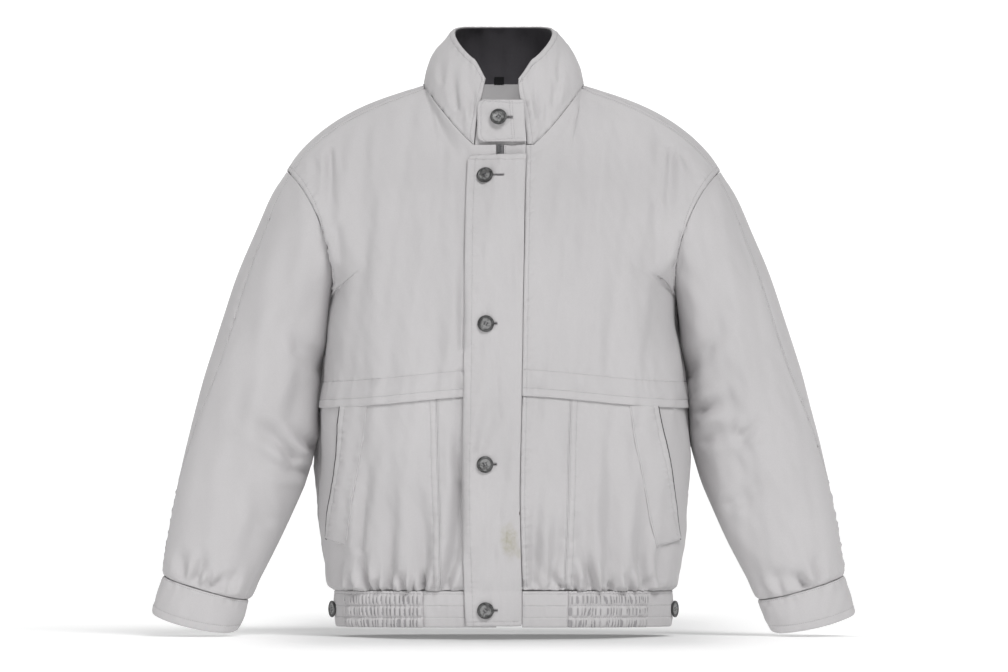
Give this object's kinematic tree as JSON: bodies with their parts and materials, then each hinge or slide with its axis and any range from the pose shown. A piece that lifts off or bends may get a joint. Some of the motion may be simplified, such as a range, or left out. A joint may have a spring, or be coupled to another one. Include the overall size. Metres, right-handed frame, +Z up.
{
  "type": "blouson jacket (bomber jacket with stand collar and storm flap)",
  "caption": "Zip and storm-flap blouson with a stand collar, throat tab, slanted welt pockets, cuffs and a part-elastic waistband, filled out as if worn.",
  "frame": {"origin": "middle of the neck seam, at the centre of the neck opening", "axes": "+X to the viewer's right across the shoulders, +Y from front to back, +Z up"},
  "size_m": [0.901, 0.3156, 0.7786],
  "materials": {
    "shell_cloth": "matte peach-skin microfibre weave",
    "charcoal_lining": "matte woven lining",
    "label": "woven satin, blank",
    "zip_grey": "woven zip tape with moulded coils",
    "button_plastic": "marbled grey polyester, polished"
  },
  "bodies": {
    "root": {"chest_left": "shell_cloth", "chest_right": "shell_cloth", "lower_centre_left": "shell_cloth", "lower_centre_right": "shell_cloth", "lower_side_left": "shell_cloth", "lower_side_right": "shell_cloth", "back": "shell_cloth", "sleeve_front_left": "shell_cloth", "sleeve_back_left": "shell_cloth", "cuff_left": "shell_cloth", "sleeve_front_right": "shell_cloth", "sleeve_back_right": "shell_cloth", "cuff_right": "shell_cloth", "waistband_front_left": "shell_cloth", "waistband_elastic_left": "shell_cloth", "waistband_front_right": "shell_cloth", "waistband_elastic_right": "shell_cloth", "waistband_back": "shell_cloth", "collar": "shell_cloth", "throat_tab": "shell_cloth", "throat_underlap": "shell_cloth", "storm_flap": "shell_cloth", "placket": "shell_cloth", "pocket_welt_left": "shell_cloth", "pocket_welt_right": "shell_cloth", "collar_lining": "charcoal_lining", "neck_label": "label", "zip": "zip_grey", "button_flap_1": "button_plastic", "button_flap_2": "button_plastic", "button_flap_3": "button_plastic", "button_flap_4": "button_plastic", "button_throat": "button_plastic", "button_waist_left": "button_plastic", "button_waist_right": "button_plastic"}
  },
  "joints": []
}
